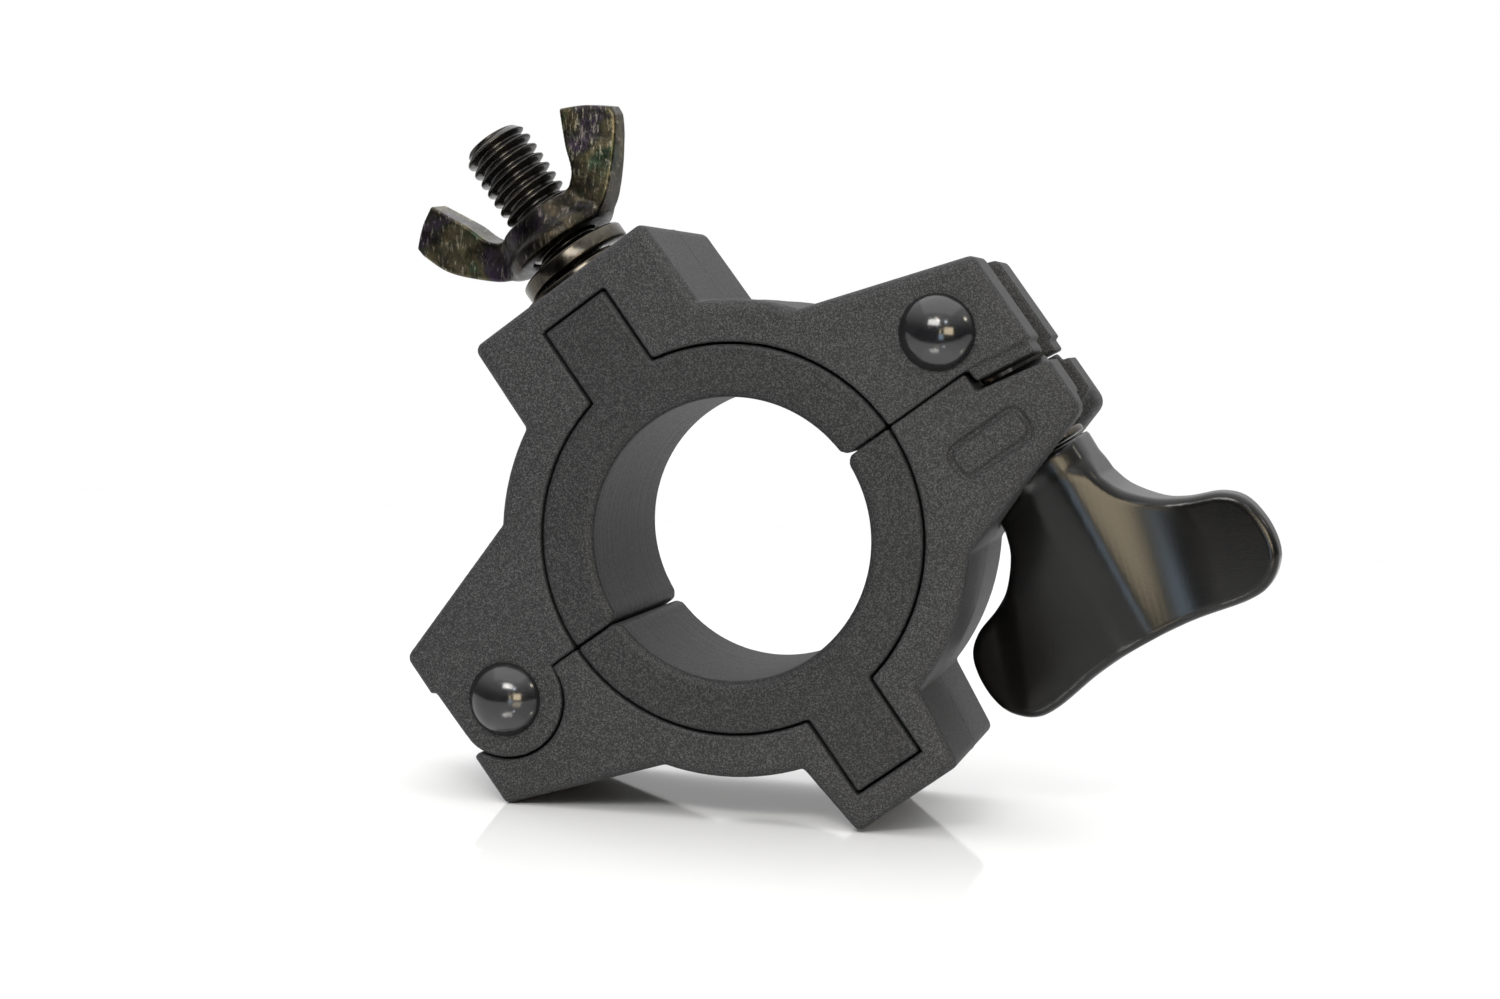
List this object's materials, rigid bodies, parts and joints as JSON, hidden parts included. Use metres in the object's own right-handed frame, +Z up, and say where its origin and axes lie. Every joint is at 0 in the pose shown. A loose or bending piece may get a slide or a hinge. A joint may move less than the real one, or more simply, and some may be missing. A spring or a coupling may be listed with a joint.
{
  "type": "pipe clamp",
  "caption": "Wrap-around pipe clamp: hinged ring jaws with reducing inserts, an eye-bolt latch with a wing handle, and a bolt with a wing nut for a fixture yoke.",
  "frame": {"origin": "centre of the bounding box on the floor plane the clamp stands on", "axes": "+Z up with the clamp standing on its two lower corners, +Y along the pipe, +X from the hinge side to the latch side"},
  "size_m": [0.12, 0.04, 0.0951],
  "materials": {
    "jaw_plastic": "fine grained matte",
    "insert_plastic": "fine grained matte",
    "pin_black": "gloss black",
    "bolt_black_oxide": "black oxide, oiled",
    "washer_black_chrome": "dark plated",
    "handle_satin_black": "satin black",
    "nut_passivated": "dark olive passivated"
  },
  "bodies": {
    "upper": {"upper_jaw": "jaw_plastic", "upper_insert": "insert_plastic", "hinge_pin": "pin_black", "hinge_pin_cap": "pin_black", "latch_pin": "pin_black", "latch_pin_cap": "pin_black", "yoke_bolt": "bolt_black_oxide"},
    "lower": {"lower_jaw": "jaw_plastic", "lower_insert": "insert_plastic"},
    "latch": {"eye_bolt": "bolt_black_oxide"},
    "latch_slide": {"latch_washer": "washer_black_chrome"},
    "handle": {"handle": "handle_satin_black"},
    "yoke_slide": {"yoke_washer": "washer_black_chrome", "lock_washer": "washer_black_chrome"},
    "wing_nut": {"wing_nut": "nut_passivated"}
  },
  "joints": [
    {"name": "jaw_hinge", "type": "hinge", "parent": "upper", "child": "lower", "pos_m": [-0.03936, 0, 0.01408], "axis": [0, 1, 0], "range_deg": [0, 8.98]},
    {"name": "latch_swing", "type": "hinge", "parent": "upper", "child": "latch", "pos_m": [0.01635, 0, 0.06467], "axis": [0, -1, 0], "range_deg": [0, 100]},
    {"name": "handle_travel", "type": "slide", "parent": "latch", "child": "latch_slide", "axis": [0.5594, 0, -0.8289], "range_m": [0, 0.013]},
    {"name": "handle_spin", "type": "hinge", "parent": "latch_slide", "child": "handle", "pos_m": [0.01635, 0, 0.06467], "axis": [0.5594, 0, -0.8289], "range_deg": [0, 3744.5]},
    {"name": "nut_travel", "type": "slide", "parent": "upper", "child": "yoke_slide", "axis": [-0.609, 0, 0.7932], "range_m": [0, 0.012]},
    {"name": "nut_spin", "type": "hinge", "parent": "yoke_slide", "child": "wing_nut", "pos_m": [-0.00961, 0, 0.03692], "axis": [-0.609, 0, 0.7932], "range_deg": [0, 2721.5]}
  ],
  "couplings": [
    {"joint": "jaw_hinge", "follows": "handle_travel", "rad_per_m": 12.048},
    {"joint": "handle_spin", "follows": "handle_travel", "rad_per_m": 5026.5},
    {"joint": "nut_spin", "follows": "nut_travel", "rad_per_m": 3957.9}
  ]
}
